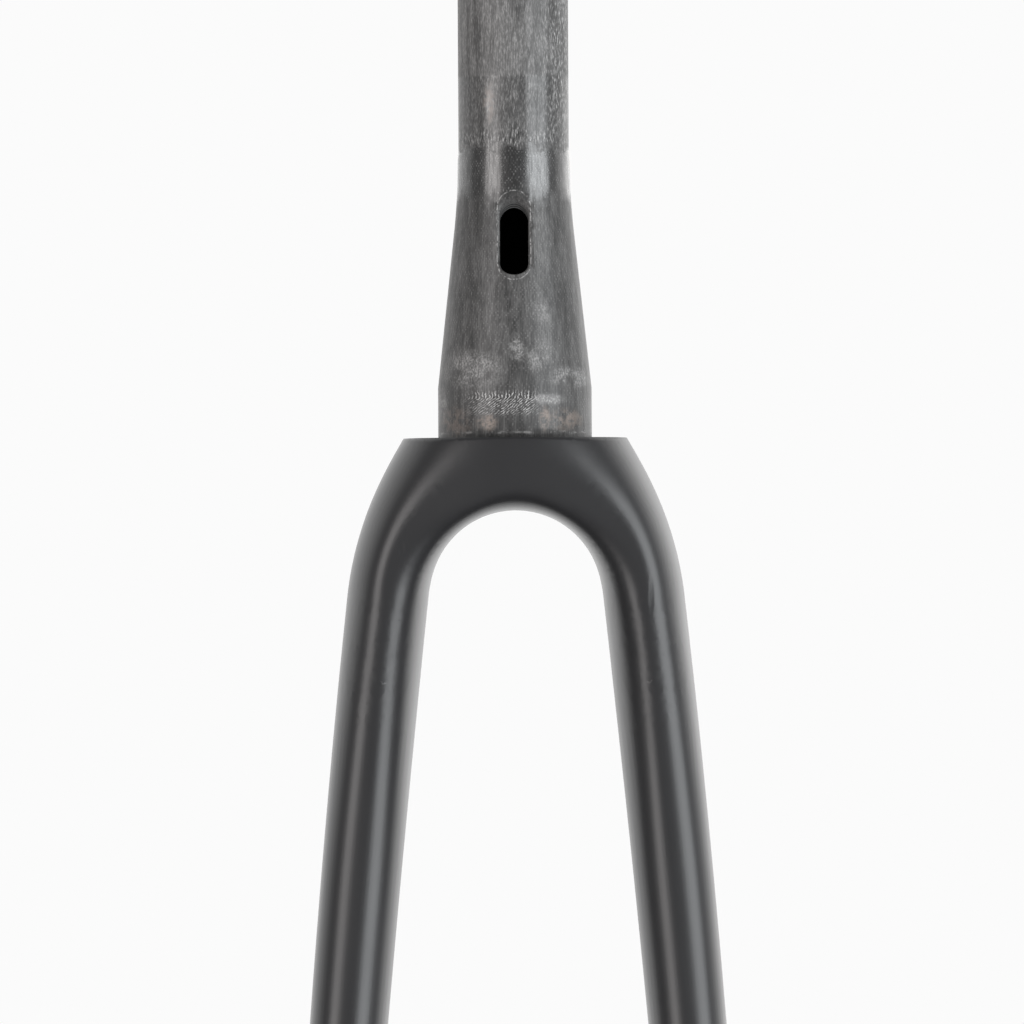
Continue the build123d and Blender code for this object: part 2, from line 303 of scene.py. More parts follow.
fibres = bare.noise(0.32 * MM, 4 * MM, detail=2, roughness=0.55)
strokes = bare.noise(0.3 * MM, 1.25 * MM, detail=2, roughness=0.6)
streaks = bare.noise(2.2 * MM, 16 * MM, detail=2)
torn_edge = height.band(SANDED_FROM, SANDED_FROM + 4 * MM, 2 * MM)
speckled = blend(0.2, 1, turn.ramp(0.45, 0.95).math("MAXIMUM", torn_edge))
white_specks = strokes.ramp(0.58, 0.7) * speckled * sanded
drawn_aside = wander * 1.6
drawn_down = wander * (2.2 * MM)
columns = (turn * COLUMNS + drawn_aside).math("COSINE")
cloth = columns * ((bare.z + drawn_down) * (2 * pi / ROW_PITCH)).math("COSINE")
worn_cloth = bare.noise(0.8 * MM, 1.4 * MM, detail=3).ramp(0.42, 0.68)
cloth_dots = cloth.ramp(-0.1, 0.9) * worn_cloth * (1 - sanded)
print("fibre and cloth patterns made")

# %% [markdown]
# Marks of use are placed where they are on this fork: `spot` gives a soft oval on the front of the steerer,
# and a noise breaks it up. Sanding dust in the open weave makes the pale patches, and glue the brown ones.
# A thin brownish and pale streak high on the left is no mark but a painted highlight.

# %% Bare carbon: rubbed patches, stains and a painted highlight
SPOT_EDGE = (1.35, 0.35)


def spot(across, up, half_width, half_height):
    """A soft oval on the front, by millimetres from the steerer's axis and from the crown's top."""
    oval = bare.oval(across * MM, up * MM, half_width * MM, half_height * MM)
    return oval.ramp(*SPOT_EDGE) * in_front


grit = bare.noise(0.45 * MM, 0.6 * MM, detail=2).ramp(0.4, 0.66)
cloud = bare.noise(5 * MM, 4 * MM, detail=4, roughness=0.65)
rubbed = spot(-11, 17.5, 7.5, 5) + spot(0.6, 23, 2, 3.9) + 0.8 * spot(6.5, 21, 4, 4.5)
rubbed = rubbed + spot(14, 15.5, 6, 2.8) + 0.6 * spot(7.2, 32, 2.2, 3.6) + spot(-19, 9, 1.6, 4)
rubbed = rubbed + bare.z.band(12 * MM, 24 * MM, 4 * MM) * (1 - in_front) * cloud.ramp(0.5, 0.6)
rubbed = rubbed * cloud.ramp(0.3, 0.6) * blend(0.25, 1, grit)
stains_and_highlight_tint = spot(-7.2, 3.9, 2.6, 2.2) + spot(7.6, 4.8, 1.4, 3) + 0.6 * spot(13, 4.6, 4.4, 2.8)
# The spot 86 mm up is not glue: it is the brownish tint of a painted highlight high on the left of the steerer.
stains_and_highlight_tint = stains_and_highlight_tint + 0.4 * spot(-15, 4, 4, 4) + 0.5 * spot(-6.3, 86, 1.5, 5.5)
stains_and_highlight_tint = stains_and_highlight_tint * bare.noise(1.6 * MM, 1.6 * MM, detail=4, roughness=0.6).ramp(0.38, 0.62)
resin_bead = length_of(bare.y / (0.9 * MM), (bare.z - 71.4 * MM) / (3 * MM)).ramp(1.3, 0.5) * (bare.x > 0)
print("patches and stains placed")

# %% Bare carbon: file marks and the painted shade at the foot
FILED_FROM = 6 * MM
FILED_TO = 11.8 * MM
FILE_PITCH = 0.85 * MM
FILE_SLANT = 1.3
TEETH_FROM = 10.2 * MM
FOOT_LINE_TO = 0.9 * MM

below_teeth = (bare.z - TEETH_FROM).math("MINIMUM", 0)
shaken = bare.noise(1.1 * MM, 0.9 * MM, detail=2) - 0.5
slanted = bare.x - below_teeth * FILE_SLANT + wander * (1.2 * MM) + shaken * (1.3 * MM)
file_marks = (slanted * (2 * pi / FILE_PITCH)).math("SINE").ramp(-0.2, 1)
filed = bare.z.band(FILED_FROM, FILED_TO, 0.7 * MM) * in_front
filed = filed * bare.x.ramp(-15 * MM, -8 * MM) * bare.x.ramp(7.5 * MM, 3 * MM)
filed = filed * bare.noise(0.9 * MM, 0.7 * MM, detail=3).ramp(0.36, 0.62)
swirl = spot(8.6, 9.8, 4, 1.5) * grit.math("MAXIMUM", 0.4)
foot_edge = bare.z + wander * (1.8 * MM)
# Painted shade: a dark wavy line at the steerer's foot stands for the shade in a small groove there, which the
# mesh leaves out.
foot_groove_shade = foot_edge.ramp(FOOT_LINE_TO + 0.3 * MM, FOOT_LINE_TO - 0.3 * MM)
foot_light = foot_edge.band(FOOT_LINE_TO + 0.2 * MM, FOOT_LINE_TO + 0.7 * MM, 0.3 * MM)
foot_light = foot_light * cloud.ramp(0.5, 0.62)
print("file marks every", FILE_PITCH)

# %% [markdown]
# The slot's rim is frayed where the cutter broke through, so a thin ragged pale line follows it. The slot is
# a stadium seen from the front, so the distance to its outline is short arithmetic. Its walls and the bore
# show the dark, layered laminate.

# %% Bare carbon: the slot's rim and the inside
SLOT_CENTRE = 52.1 * MM
SLOT_HALF_WIDTH = 4.3 * MM
SLOT_HALF_STRAIGHT = 7.2 * MM
SEAT_RADIUS = 19.9 * MM
STEERER_RADIUS = 14.3 * MM
TAPER_TOP = 66 * MM
PLY = 0.5 * MM

above_ends = (abs(bare.z - SLOT_CENTRE) - SLOT_HALF_STRAIGHT).math("MAXIMUM", 0)
from_rim = abs(length_of(above_ends, bare.x) - SLOT_HALF_WIDTH + wander * (0.6 * MM))
frayed = from_rim.ramp(0.22 * MM, 0.06 * MM) * in_front
frayed = frayed * bare.noise(0.8 * MM, 0.8 * MM, detail=2).ramp(0.4, 0.6)
axis_distance = length_of(bare.x, bare.y)
skin_radius = blend(SEAT_RADIUS, STEERER_RADIUS, (bare.z / TAPER_TOP).ramp(0.05, 1.0))
inside = (skin_radius - axis_distance).ramp(0.9 * MM, 1.6 * MM)
plies = (axis_distance * (2 * pi / PLY)).math("SINE").ramp(-0.6, 0.8)
print("slot rim half width:", SLOT_HALF_WIDTH)

# %% Bare carbon: how light each zone and mark is
DULL_TONE = 0.05
GLOSSY_TONE = 0.004
SANDED_TONE = 0.055
WELL_SANDED_TONE = 0.088
SPECK_TONE = 0.16
CLOTH_TONE = 0.045
GLOSSY_CLOTH_TONE = 0.08
RUBBED_TONE = 0.17
FILE_MARK_TONE = 0.34
FILED_SHADE = 0.02
SWIRL_TONE = 0.2
FOOT_LIGHT_TONE = 0.12
PAINTED_HIGHLIGHT_TONE = 0.1
FRAYED_TONE = 0.16

moulded_tone = blend(DULL_TONE, GLOSSY_TONE, glossy_ring)
sanded_tone = blend(SANDED_TONE, WELL_SANDED_TONE, well_sanded)
tone = blend(moulded_tone, sanded_tone, sanded)
tone = tone * blend(1, blend(0.55, 1.5, fibres.ramp(0.32, 0.68)), blend(0.7, 0.35, sanded))
stroke_share = sanded * blend(0.4, 1, speckled) * blend(1, 0.6, well_sanded)
tone = tone * blend(1, blend(0.3, 2.3, strokes.ramp(0.38, 0.68)), stroke_share)
tone = tone * blend(0.72, 1.28, streaks.ramp(0.35, 0.65))
tone = tone + white_specks * SPECK_TONE
tone = tone + cloth_dots * blend(CLOTH_TONE, GLOSSY_CLOTH_TONE, glossy_ring)
tone = tone + rubbed * RUBBED_TONE
tone = tone + filed * (file_marks * FILE_MARK_TONE - FILED_SHADE) + swirl * SWIRL_TONE
tone = tone * blend(1, 0.55, foot_groove_shade) + foot_light * FOOT_LIGHT_TONE
# Painted highlight: a thin pale streak 86 mm up on the left, standing in for a glossy streak of light.
tone = tone + spot(-6.3, 86, 0.9, 5) * PAINTED_HIGHLIGHT_TONE
tone = tone + frayed * FRAYED_TONE
print("darkest zone", GLOSSY_TONE, "and lightest mark", FILE_MARK_TONE)

# %% Bare carbon: colour, gloss and relief
CHALK = (1.0, 0.985, 0.975, 1)
GLUE_AND_HIGHLIGHT_BROWN = (0.25, 0.2, 0.17, 1)
RESIN_AMBER = (0.5, 0.3, 0.07, 1)
RELIEF = 0.03 * MM

colour = bare.mix(tone, grey(0.0), CHALK)
colour = bare.mix(stains_and_highlight_tint * 0.7, colour, GLUE_AND_HIGHLIGHT_BROWN)
colour = bare.mix(resin_bead, colour, RESIN_AMBER)
colour = bare.mix(inside, colour, bare.mix(plies, grey(0.015), grey(0.07)))
bare.feed("Base Color", colour)
bare.feed("Roughness", blend(0.5, 0.6, sanded) + 0.15 * rubbed)
coat = blend(0.12, 0.42, (1 - well_sanded) * sanded).math("MAXIMUM", glossy_ring)
bare.feed("Coat Weight", coat * blend(0.65, 1, fibres.ramp(0.35, 0.6)) * (1 - inside))
bare.bump(fibres * sanded + cloth_dots * 0.7 + filed * file_marks, RELIEF)
print("mixed", bare.material.name)

# %% [markdown]
# The bore and the hollow in the legs are raw laminate that no light reaches. Their finish is painted shade:
# nearly black with hardly any gloss, so the slot looks as deep as it is.

# %% Mix the raw laminate, painted nearly black as shade
raw = Finish("raw_laminate_painted_dark", Specular_IOR_Level=0.05, Roughness=0.9)
raw.feed("Base Color", raw.mix(raw.noise(3 * MM, 3 * MM, detail=3), grey(0.003), grey(0.009)))
print("mixed", raw.material.name)

# %% [markdown]
# ## The moulding's smooth skin
#
# Crown and legs are one smooth skin: oval sections that fan round the arch over the tyre, turn down into the
# legs and grow into the round dropouts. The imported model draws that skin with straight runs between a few
# sections, which is enough for fitting parts together but shows as bands in a reflection. The rule behind the
# sections is known, so a Geometry Nodes tree can put every point back on it. The sizes are the tree's named
# inputs. Points on the steerer and in the dropouts go back to their true radius in the same way.

# %% Sizes of the skin
SKIN_SIZES = {
    "Crown diameter": 57 * MM,
    "Crown height": 18.7 * MM,
    "Crown squareness": 6,
    "Crown spread": 8,
    "Front angle": radians(65),
    "Leg angle": radians(20),
    "Depth run": 130 * MM,
    "Arch bend": 32.825 * MM,
    "Flat run": 14.3 * MM,
    "Square run": 85 * MM,
    "Ridge radius": 33.15 * MM,
    "Crown ridge radius": 36 * MM,
    "Outer squareness": 2.4,
    "Ridge angle": radians(60),
    "Arch radius": 22.3 * MM,
    "Arch ease": 0.32 * MM,
    "Arch ease angle": radians(22.5),
    "Shoulder radius": 90 * MM,
    "Axle drop": 385 * MM,
    "Rake": 47 * MM,
    "Rake start": 20 * MM,
    "Rake curve": 1.3,
    "Leg top drop": 60 * MM,
    "Leg top centre": 35.15 * MM,
    "Leg top width": 21.05 * MM,
    "Leg top depth": 32.5 * MM,
    "Leg foot width": 15 * MM,
    "Leg foot depth": 21.5 * MM,
    "Leg foot rise": 26 * MM,
    "Leg width curve": 1.6,
    "Leg bow": 3.1 * MM,
    "Leg squareness": 2.1,
    "Dropout centre": MOUNTS["axle_hole"].x,
    "Dropout half width": 6 * MM,
    "Dropout half depth": 13.5 * MM,
    "Dropout squareness": 3,
    "Snap distance": 1.2 * MM,
}
SHOULDER_DROP = 40 * MM


def leg_middle(sizes, share):
    """How far out the middle of a leg lies, by its share of the way from the leg's top to the axle."""
    straight = blend(sizes["Leg top centre"], sizes["Dropout centre"], share)
    return straight + 4 * sizes["Leg bow"] * share * (1 - share)


def shoulder_centre(sizes):
    """The middle of the arc from the crown's rim to the outside of a leg, as seen from the arch's middle."""
    top = -sizes["Leg top drop"]
    share = (top + SHOULDER_DROP) / (top + sizes["Axle drop"])
    rim = Vector((sizes["Crown diameter"] / 2, 0))
    leg = Vector((leg_middle(sizes, share) + sizes["Leg top width"] / 2, -SHOULDER_DROP))
    chord = leg - rim
    inward = Vector((chord.y, -chord.x)).normalized()
    reach = sqrt(sizes["Shoulder radius"] ** 2 - (chord.length / 2) ** 2)
    arch_middle = Vector((0, -sizes["Arch radius"] - sizes["Crown height"]))
    return (rim + leg) / 2 + inward * reach - arch_middle


SHOULDER = shoulder_centre(SKIN_SIZES)
SKIN_SIZES["Shoulder centre out"] = SHOULDER.x
SKIN_SIZES["Shoulder centre up"] = SHOULDER.y
print("shoulder arc centre from the arch's middle:", tuple(round(part / MM, 2) for part in SHOULDER), "mm")

# %% [markdown]
# The rule itself, in the same terms for a leg and for the crown: how far out a section's ridge lies, how far
# forward, half its width inside and outside the ridge, half its depth, and how square it is on its outer and
# its inner side. In a leg a section lies level. In the crown it stands on a ray from the arch's middle, and
# its front is flat right down to the edge of the arch. The depth eases from the crown's to the leg's along
# the whole way round the arch and on down the leg, so the flat front runs on into the legs without a hollow.
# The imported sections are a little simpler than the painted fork, whose ridge keeps its distance from the arch
# and whose inner corner stays fuller for longer. So the rule is written for both, and the tree moves points
# from the one to the other.

# %% The rule of the sections


def smooth_share(value, low, high):
    """A smooth step from 0 at low to 1 at high, where the ends may be signals."""
    share = ((value - low) / (high - low)).math("MAXIMUM", 0).math("MINIMUM", 1)
    return share * share * (3 - 2 * share)


def rake_at(size, level):
    """How far forward the middle of a section lies."""
    share = (0 - size["Rake start"] - level) / (size["Axle drop"] - size["Rake start"])
    return 0 - size["Rake"] * share.math("MAXIMUM", 0) ** size["Rake curve"]


def slimmed_at(size, level):
    """How far down a level lies: 0 at the leg's top and 1 at its foot."""
    top = 0 - size["Leg top drop"]
    foot = size["Leg foot rise"] - size["Axle drop"]
    return (top - level.math("MAXIMUM", foot)) / (top - foot)


def eased_depth(size, run, level):
    """The depth of a section by its run round the arch and down the leg from the middle of the crown."""
    leg_depth = blend(size["Leg top depth"], size["Leg foot depth"], slimmed_at(size, level))
    return blend(size["Crown diameter"], leg_depth, smooth_share(run, 0, size["Depth run"]))


def arch_squareness(size, run):
    """How square the side of a section is that faces the arch."""
    rounded = 1 - smooth_share(run, size["Flat run"], size["Square run"])
    return blend(size["Leg squareness"], size["Crown squareness"], rounded ** 3)


def outer_squareness(size, run):
    """How square the side of a section is that faces away from the wheel."""
    filled = smooth_share(run, size["Flat run"], size["Square run"])
    return blend(size["Leg squareness"], size["Outer squareness"], filled)


def leg_section(size, arch_level, level, as_packed):
    """The section of a leg at a level."""
    top = 0 - size["Leg top drop"]
    axle = 0 - size["Axle drop"]
    ridge = leg_middle(size, (top - level) / (top - axle))
    slimmed = slimmed_at(size, level).math("MAXIMUM", 0) ** size["Leg width curve"]
    width = blend(size["Leg top width"], size["Leg foot width"], slimmed)
    run = size["Arch bend"] * (pi / 2) + arch_level - level
    into_dropout = (axle + size["Leg foot rise"] - level).math("MAXIMUM", 0) / size["Leg foot rise"]
    half_width = blend(width / 2, size["Dropout half width"], into_dropout)
    half_depth = blend(eased_depth(size, run, level) / 2, size["Dropout half depth"], into_dropout)
    outer = size["Leg squareness"] if as_packed else outer_squareness(size, run)
    inner = size["Leg squareness"] if as_packed else arch_squareness(size, run)
    outer = blend(outer, size["Dropout squareness"], into_dropout)
    inner = blend(inner, size["Dropout squareness"], into_dropout)
    return ridge, rake_at(size, level), half_width, half_width, half_depth, outer, inner


def crown_section(size, arch_level, angle, as_packed):
    """The section of the crown on a ray from the arch's middle, at an angle above level."""
    rise = angle.math("SINE")
    share = rise ** size["Crown spread"]
    along = 0 - size["Shoulder centre out"] * angle.math("COSINE") - size["Shoulder centre up"] * rise
    from_centre = length_of(size["Shoulder centre out"], size["Shoulder centre up"])
    shoulder = (along * along - from_centre * from_centre + size["Shoulder radius"] ** 2) ** 0.5 - along
    outer_radius = blend(shoulder, size["Arch radius"] + 2 * size["Crown height"], share * share)
    ease = (1 - angle / size["Arch ease angle"]).math("MAXIMUM", 0) ** 3
    arch_radius = size["Arch radius"] + size["Arch ease"] * ease
    ridge = (arch_radius + outer_radius) / 2
    rake = rake_at(size, arch_level + rise * ridge)
    run = size["Arch bend"] * (pi / 2 - angle)
    half_depth = eased_depth(size, run, arch_level) / 2
    if as_packed:
        front = smooth_share(angle, size["Leg angle"], size["Front angle"])
        outer = size["Leg squareness"]
        inner = blend(size["Leg squareness"], size["Crown squareness"], front)
    else:
        rising = smooth_share(angle, size["Ridge angle"], pi / 2)
        ridge = blend(size["Ridge radius"], size["Crown ridge radius"], rising)
        outer = outer_squareness(size, run)
        inner = arch_squareness(size, run)
    return ridge, rake, ridge - arch_radius, outer_radius - ridge, half_depth, outer, inner


print("section rule ready for", len(SKIN_SIZES), "sizes")

# %% [markdown]
# The tree finds the section that each point belongs to, and how far out in that section it lies: 1 is on the
# skin. Points that are close to the skin move on to it. Close means less by the brake mount, whose own faces
# stay, and more at the crown's rim. On the steerer, the step where the sanding ends is rubbed to a soft
# slope. The steerer takes the bare finish, the bore and the hollow the raw laminate, painted nearly black as
# shade, and the rest the paint.

# %% Where a point of the skin belongs
CROWN_TOP = -0.02 * MM


def skin_place(graph, size, place, as_packed):
    """Where a point's section meets the skin, how far that is, and how far out the point lies."""
    x, y, z = graph.split(place)
    arch_level = 0 - size["Arch radius"] - size["Crown height"]
    rise = z - arch_level
    angle = rise.math("ARCTAN2", abs(x))
    in_crown = rise > 0
    leg = leg_section(size, arch_level, z, as_packed)
    crown = crown_section(size, arch_level, angle, as_packed)
    section = [blend(in_leg, above, in_crown) for in_leg, above in zip(leg, crown)]
    ridge, rake, inner_half, outer_half, half_depth, outer, inner = section
    across = blend(abs(x), length_of(x, rise), in_crown) - ridge
    is_outer = across > 0
    half_width = blend(inner_half, outer_half, is_outer)
    squareness = blend(inner, outer, is_outer)
    forward = y - rake
    reach = (abs(across) / half_width) ** squareness + (abs(forward) / half_depth) ** squareness
    reach = reach ** (1 / squareness)
    new_out = ridge + across / reach
    new_x = new_out * blend(1, angle.math("COSINE"), in_crown) * x.math("SIGN")
    new_z = (arch_level + new_out * angle.math("SINE")).math("MINIMUM", CROWN_TOP)
    new_z = blend(z, new_z, in_crown * (z < CROWN_TOP))
    on_skin = graph.join(new_x, rake + forward / reach, new_z)
    ends = {0: place, 1: on_skin}
    moved = graph.node("ShaderNodeVectorMath", {"operation": "DISTANCE"}, ends)["Value"]
    return on_skin, moved, reach


print("the skin ends at", CROWN_TOP)

# %% Where a point of a turned surface belongs
STEERER_REACH = 20.5 * MM
BORE_FOOT = -9 * MM
NECK_RADIUS = 14.55 * MM
NECK_TOP = 73 * MM
NECK_RAMP = 1.5 * MM
NECK_SNAP = 0.3 * MM
DROPOUT_REACH = 14.2 * MM
DROPOUT_INNER_FACE = 49.3 * MM
AXIS_CORE = 1 * MM
AXLE = MOUNTS["axle_hole"]


def carried(graph, name):
    """A length that the mesh carries at its points."""
    return graph.node("GeometryNodeInputNamedAttribute", {"data_type": "FLOAT"}, {"Name": name})


def steerer_place(graph, place):
    """Whether a point is on the steerer or in its bore, and where it belongs."""
    x, y, z = graph.split(place)
    radius = carried(graph, "steerer_radius")
    neck = blend(STEERER_RADIUS, NECK_RADIUS, z.ramp(NECK_TOP + NECK_RAMP, NECK_TOP - NECK_RAMP))
    at_neck = (abs(z - NECK_TOP) < NECK_RAMP) * (abs(radius - neck) < NECK_SNAP)
    radius = blend(radius, neck, at_neck)
    axis_distance = length_of(x, y)
    on_steerer = (axis_distance < STEERER_REACH) * (z > BORE_FOOT) * (axis_distance > AXIS_CORE)
    return on_steerer, graph.join(x * radius / axis_distance, y * radius / axis_distance, z)


def dropout_place(graph, place):
    """Whether a point is on a dropout, and where it belongs."""
    x, y, z = graph.split(place)
    axle_y = y - AXLE.y
    axle_z = z - AXLE.z
    axle_distance = length_of(axle_y, axle_z)
    radius = carried(graph, "axle_radius")
    on_dropout = (radius < DROPOUT_REACH) * (abs(x) > DROPOUT_INNER_FACE) * (axle_distance > AXIS_CORE)
    growth = radius / axle_distance
    return on_dropout, graph.join(x, axle_y * growth + AXLE.y, axle_z * growth + AXLE.z)


print("the neck's slope is", 2 * NECK_RAMP, "long")

# %% The tree that puts points back on their surfaces
RIM_TOP = 0.01 * MM
RIM_ZONE = -3 * MM
RIM_TIGHTNESS = 0.5
MOUNT_ZONE = -262 * MM
MOUNT_TIGHTNESS = 3
BARE_FROM = 0.05 * MM
BORE_REACH = 16.5 * MM
HOLLOW_FOOT = -300 * MM
HOLLOW_REACH = 0.93
INWARD_COSINE = -0.6


def true_skin_tree():
    """The tree, with the skin's sizes as its inputs. It moves the points, then sets the finishes."""
    tree = bpy.data.node_groups.new("true_skin", "GeometryNodeTree")
    tree.interface.new_socket("Geometry", in_out="INPUT", socket_type="NodeSocketGeometry")
    for name in SKIN_SIZES:
        tree.interface.new_socket(name, in_out="INPUT", socket_type="NodeSocketFloat")
    tree.interface.new_socket("Geometry", in_out="OUTPUT", socket_type="NodeSocketGeometry")
    graph = Graph(tree)
    size = graph.node("NodeGroupInput")
    place = graph.node("GeometryNodeInputPosition")
    x, y, z = graph.split(place)

    packed_gap = skin_place(graph, size, place, as_packed=True)[1]
    skin_point, true_gap, reach = skin_place(graph, size, place, as_packed=False)
    tightness = blend(blend(1, RIM_TIGHTNESS, z > RIM_ZONE), MOUNT_TIGHTNESS, z < MOUNT_ZONE)
    gap = packed_gap.math("MINIMUM", true_gap) * tightness
    near_skin = (gap < size["Snap distance"]) * (z < RIM_TOP) * (z > 0 - size["Axle drop"])
    on_steerer, steerer_point = steerer_place(graph, place)
    on_dropout, dropout_point = dropout_place(graph, place)
    moves = ((on_steerer, steerer_point), (on_dropout, dropout_point), (near_skin, skin_point))
    shape = size["Geometry"]
    for selection, target in moves:
        sockets = {"Geometry": shape, "Selection": selection, "Position": target}
        shape = graph.node("GeometryNodeSetPosition", {}, sockets)
    sockets = {"Geometry": shape, "Name": "skin_gap", "Value": gap}
    shape = graph.node("GeometryNodeStoreNamedAttribute", {"data_type": "FLOAT"}, sockets)
    shape = graph.node("GeometryNodeRealizeInstances", {}, {"Geometry": shape})

    axis_distance = length_of(x, y)
    normal = graph.split(graph.node("GeometryNodeInputNormal"))
    faces_axis = (x * normal[0] + y * normal[1]) / axis_distance < INWARD_COSINE
    in_bore = on_steerer * faces_axis + (axis_distance < BORE_REACH) * (z < CROWN_TOP) * (z > BORE_FOOT)
    in_hollow = (reach < HOLLOW_REACH) * (z < CROWN_TOP) * (z > HOLLOW_FOOT)
    # The bore and the hollow get the raw laminate, painted nearly black as shade.
    finishes = ((True, paint), (z > BARE_FROM, bare), (in_bore + in_hollow, raw))
    for selection, finish in finishes:
        sockets = {"Geometry": shape, "Selection": selection, "Material": finish.material}
        shape = graph.node("GeometryNodeSetMaterial", {}, sockets)
    graph.node("NodeGroupOutput", {}, {"Geometry": shape})
    return tree


TRUE_SKIN = true_skin_tree()
print("true_skin tree has", len(TRUE_SKIN.nodes), "nodes")

# %% [markdown]
# A point can only be put back if there is one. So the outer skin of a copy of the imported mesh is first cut
# across the legs in even steps, at a few levels under the crown's rim and along rays in the crown, and the
# steerer across the slope at its neck. Then edges that are still long are halved, and the tree runs again for
# the new points. Each point carries its distance from the steerer's and the axle's line, and a new point gets
# the mean of its two ends, which is its true radius on a turned surface. Cuts that meet at a narrow angle
# leave flat or folded faces, which are cleaned away before each halving and at the end.

# %% Tell the outer skin from the walls inside
ARCH_MIDDLE = Vector((0, 0, -SKIN_SIZES["Arch radius"] - SKIN_SIZES["Crown height"]))


def looks_out(face):
    """Whether a face looks away from the middle of its section, which the walls of the hollow don't."""
    middle = face.calc_center_median()
    rise = max(middle.z - ARCH_MIDDLE.z, 0)
    top = -SKIN_SIZES["Leg top drop"]
    share = (top - middle.z) / (top - AXLE.z)
    leg_out = SKIN_SIZES["Leg top centre"] * (1 - share) + SKIN_SIZES["Dropout centre"] * share
    raked_run = SKIN_SIZES["Axle drop"] - SKIN_SIZES["Rake start"]
    raked = max((-SKIN_SIZES["Rake start"] - middle.z) / raked_run, 0)
    forward = middle.y + SKIN_SIZES["Rake"] * raked ** SKIN_SIZES["Rake curve"]
    ray = Vector((middle.x, 0, rise))
    aside = ray - ray.normalized() * (SKIN_SIZES["Ridge radius"] if rise else leg_out)
    face.normal_update()
    return face.normal.dot(aside + Vector((0, forward, 0))) > 0


def crosses(face, level):
    """Whether a level lies between a face's lowest and highest points."""
    heights = [vert.co.z for vert in face.verts]
    return min(heights) < level < max(heights)


def skin_faces(cells, low, high):
    """The outer faces whose middles lie between two levels."""
    return [face for face in cells.faces if low < face.calc_center_median().z < high and looks_out(face)]


print("the arch's middle is at", round(ARCH_MIDDLE.z, 4))

# %% Cut the copy fine
LEG_STEP = 3 * MM
CROWN_LEVELS = [-0.6 * MM, -1.5 * MM, -3 * MM, -5 * MM]
CROWN_STEP = radians(2.5)
NECK_CUTS = 6
NECK_FACES_FROM = NECK_TOP / 2
SAME_POINT = 0.002 * MM


def cut(cells, faces, point, normal):
    """Cuts faces along a plane."""
    parts = set(faces)
    for face in faces:
        parts.update(face.edges)
        parts.update(face.verts)
    bmesh.ops.bisect_plane(cells, geom=list(parts), dist=SAME_POINT, plane_co=point, plane_no=normal)


def sliced_copy(node):
    """The merged mesh of a node, cut across its neck and legs and along rays in its crown."""
    cells = bmesh.new()
    cells.from_mesh(frame["nodes"][node].data)
    bmesh.ops.remove_doubles(cells, verts=cells.verts, dist=SAME_POINT)
    steerer_radius = cells.verts.layers.float.new("steerer_radius")
    axle_radius = cells.verts.layers.float.new("axle_radius")
    for vert in cells.verts:
        vert[steerer_radius] = hypot(vert.co.x, vert.co.y)
        vert[axle_radius] = hypot(vert.co.y - AXLE.y, vert.co.z - AXLE.z)
    for step in range(NECK_CUTS + 1):
        level = NECK_TOP + NECK_RAMP * (2 * step / NECK_CUTS - 1)
        upper = [face for face in cells.faces if max(vert.co.z for vert in face.verts) > NECK_FACES_FROM]
        cut(cells, upper, Vector((0, 0, level)), Vector((0, 0, 1)))
    leg_cuts = round((ARCH_MIDDLE.z - AXLE.z) / LEG_STEP)
    leg_levels = [AXLE.z + (ARCH_MIDDLE.z - AXLE.z) * step / leg_cuts for step in range(leg_cuts + 1)]
    for level in leg_levels + CROWN_LEVELS:
        crossing = [face for face in cells.faces if crosses(face, level) and looks_out(face)]
        cut(cells, crossing, Vector((0, 0, level)), Vector((0, 0, 1)))
    for step in range(1, round(pi / CROWN_STEP)):
        ray_normal = Matrix.Rotation(-step * CROWN_STEP, 3, "Y") @ Vector((0, 0, 1))
        cut(cells, skin_faces(cells, ARCH_MIDDLE.z, CROWN_TOP), ARCH_MIDDLE, ray_normal)
    bmesh.ops.triangulate(cells, faces=cells.faces)
    mesh = bpy.data.meshes.new(node + "_sliced")
    cells.to_mesh(mesh)
    cells.free()
    return mesh


sliced = sliced_copy("fork_body")
print("sliced copy:", len(sliced.polygons), "triangles")

# %% Put the points back


def put_back(mesh):
    """Runs the true_skin tree over a mesh and returns the result as a plain mesh."""
    carrier = bpy.data.objects.new("skin_carrier", mesh)
    bpy.context.scene.collection.objects.link(carrier)
    modifier = carrier.modifiers.new("true_skin", "NODES")
    modifier.node_group = TRUE_SKIN
    for item in TRUE_SKIN.interface.items_tree:
        if item.in_out == "INPUT" and item.name in SKIN_SIZES:
            modifier[item.identifier] = SKIN_SIZES[item.name]
    graph = bpy.context.evaluated_depsgraph_get()
    result = bpy.data.meshes.new_from_object(
        carrier.evaluated_get(graph), preserve_all_data_layers=True, depsgraph=graph
    )
    carrier.modifiers.remove(modifier)
    bpy.data.objects.remove(carrier)
    return result


smooth = put_back(sliced)
print("points put back:", len(smooth.vertices))

# %% Clean what the cuts leave
FLAT_FACE = 0.06 * MM


def cleaned_cells(mesh):
    """The mesh with double points merged, flat faces dissolved and folded pairs of faces mended."""
    cells = bmesh.new()
    cells.from_mesh(mesh)
    bmesh.ops.remove_doubles(cells, verts=cells.verts, dist=SAME_POINT)
    bmesh.ops.dissolve_degenerate(cells, dist=FLAT_FACE, edges=cells.edges)
    bmesh.ops.triangulate(cells, faces=cells.faces)
    by_points = {}
    for face in cells.faces:
        by_points.setdefault(frozenset(face.verts), []).append(face)
    folded = [face for faces in by_points.values() for face in faces[len(faces) % 2:]]
    bmesh.ops.delete(cells, geom=folded, context="FACES")
    open_edges = [edge for edge in cells.edges if edge.is_boundary]
    bmesh.ops.holes_fill(cells, edges=open_edges, sides=3)
    return cells


print("faces under", FLAT_FACE, "high are cleaned away")

# %% Halve the long edges and put the new points back
LONG_EDGE = 2.5 * MM
HALVINGS = 2


